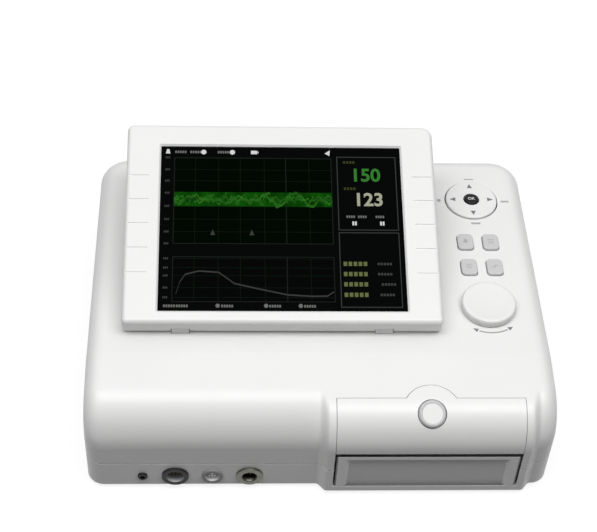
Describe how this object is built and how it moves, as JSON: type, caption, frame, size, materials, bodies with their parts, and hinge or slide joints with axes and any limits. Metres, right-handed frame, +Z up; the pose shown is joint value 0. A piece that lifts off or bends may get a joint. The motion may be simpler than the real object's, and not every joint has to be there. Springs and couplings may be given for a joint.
{
  "type": "cardiotocograph",
  "caption": "Desk-top fetal monitor with a folding colour display, deck keys, rotary knob, probe sockets and a front-loading strip chart recorder.",
  "frame": {"origin": "on the table, under the middle of the housing", "axes": "+X to the user's right, +Y away from the user, +Z up"},
  "size_m": [0.32, 0.262, 0.1442],
  "materials": {
    "white_plastic": "white, semi-gloss",
    "grey_plastic": "pale grey, satin",
    "black_plastic": "black, satin",
    "gear_plastic": "natural, satin",
    "board": "green lacquer",
    "screen_glass": "dark, glossy",
    "rubber": "matt",
    "steel": "brushed",
    "aluminium": "satin",
    "brass": "bright",
    "paper": "matt"
  },
  "bodies": {
    "base": {"upper_housing": "white_plastic", "lower_housing": "white_plastic", "rubber_feet": "rubber", "housing_screws": "steel", "battery_cover": "white_plastic", "battery_pack": "black_plastic", "speaker": "black_plastic", "main_board": "board", "power_supply": "aluminium", "rear_panel": "aluminium", "mains_inlet": "black_plastic", "inlet_blades": "brass", "switch_frame": "black_plastic", "fuse_holders": "black_plastic", "earth_post": "brass", "data_port": "black_plastic", "hinge_brackets": "white_plastic", "bracket_screws": "steel", "deck_bumpers": "rubber", "key_board": "board", "pad_base": "grey_plastic", "knob_encoder": "aluminium", "catch_plate": "steel", "drawer_rails": "grey_plastic", "recorder_frame": "steel", "feed_motor": "aluminium", "socket_inserts": "black_plastic", "socket_board": "board", "marker_jack": "black_plastic", "doppler_socket": "black_plastic", "movement_socket": "grey_plastic", "toco_socket": "steel"},
    "display": {"front_bezel": "white_plastic", "display_window": "screen_glass", "lcd_panel": "aluminium", "display_board": "board", "display_rear_shell": "white_plastic", "display_screws": "steel", "hinge_pins": "steel"},
    "gimbal": {"pad_gimbal": "gear_plastic"},
    "direction_pad": {"direction_ring": "white_plastic"},
    "ok_key": {"ok_button": "black_plastic"},
    "key_1": {"function_key_1": "grey_plastic"},
    "key_2": {"function_key_2": "grey_plastic"},
    "key_3": {"function_key_3": "grey_plastic"},
    "key_4": {"function_key_4": "grey_plastic"},
    "dial": {"knob": "white_plastic"},
    "lid": {"recorder_lid": "white_plastic", "lid_pins": "steel", "lid_hook": "steel", "print_head": "aluminium"},
    "latch": {"latch_button": "white_plastic"},
    "drawer": {"drawer_front": "white_plastic", "drawer_tray": "grey_plastic", "paper_pack": "paper"},
    "platen": {"platen_roller": "rubber", "platen_shaft": "steel", "platen_gear": "gear_plastic"},
    "pinion": {"motor_pinion": "gear_plastic"},
    "rocker": {"power_rocker": "black_plastic"}
  },
  "joints": [
    {"name": "display_hinge", "type": "hinge", "parent": "base", "child": "display", "pos_m": [-0.026, -0.0517, 0.0863], "axis": [1, 0, 0], "range_deg": [-17.7, 42.3]},
    {"name": "gimbal_tilt", "type": "hinge", "parent": "base", "child": "gimbal", "pos_m": [0.1193, 0.0763, 0.0746], "axis": [0, 1, 0], "range_deg": [-2.5, 2.5], "stiffness_Nm_per_rad": 0.6},
    {"name": "pad_tilt", "type": "hinge", "parent": "gimbal", "child": "direction_pad", "pos_m": [0.1193, 0.0763, 0.0746], "axis": [1, 0, 0], "range_deg": [-2.5, 2.5], "stiffness_Nm_per_rad": 0.6},
    {"name": "ok_press", "type": "slide", "parent": "base", "child": "ok_key", "axis": [0, 0, -1], "range_m": [0, 0.0008], "stiffness_N_per_m": 800, "springref_m": -0.0005},
    {"name": "key_1_press", "type": "slide", "parent": "base", "child": "key_1", "axis": [0, 0, -1], "range_m": [0, 0.001], "stiffness_N_per_m": 800, "springref_m": -0.0005},
    {"name": "key_2_press", "type": "slide", "parent": "base", "child": "key_2", "axis": [0, 0, -1], "range_m": [0, 0.001], "stiffness_N_per_m": 800, "springref_m": -0.0005},
    {"name": "key_3_press", "type": "slide", "parent": "base", "child": "key_3", "axis": [0, 0, -1], "range_m": [0, 0.001], "stiffness_N_per_m": 800, "springref_m": -0.0005},
    {"name": "key_4_press", "type": "slide", "parent": "base", "child": "key_4", "axis": [0, 0, -1], "range_m": [0, 0.001], "stiffness_N_per_m": 800, "springref_m": -0.0005},
    {"name": "dial_turn", "type": "hinge", "parent": "base", "child": "dial", "pos_m": [0.1193, -0.0305, 0.08], "axis": [0, 0, 1], "continuous": true},
    {"name": "lid_hinge", "type": "hinge", "parent": "base", "child": "lid", "pos_m": [0.07265, -0.127, 0.0495], "axis": [1, 0, 0], "range_deg": [0, 95]},
    {"name": "latch_press", "type": "slide", "parent": "lid", "child": "latch", "axis": [0, 0.509, -0.8607], "range_m": [0, 0.0025], "stiffness_N_per_m": 600, "springref_m": -0.001},
    {"name": "drawer_slide", "type": "slide", "parent": "base", "child": "drawer", "axis": [0, -1, 0], "range_m": [0, 0.08]},
    {"name": "platen_turn", "type": "hinge", "parent": "base", "child": "platen", "pos_m": [0.07265, -0.1175, 0.0386], "axis": [1, 0, 0], "continuous": true},
    {"name": "pinion_turn", "type": "hinge", "parent": "base", "child": "pinion", "pos_m": [0.012, -0.10472, 0.04456], "axis": [1, 0, 0], "continuous": true},
    {"name": "rocker_tip", "type": "hinge", "parent": "base", "child": "rocker", "pos_m": [-0.084, 0.1188, 0.036], "axis": [1, 0, 0], "range_deg": [0, 16]}
  ],
  "couplings": [
    {"joint": "pinion_turn", "follows": "platen_turn", "ratio": -1.3333}
  ]
}
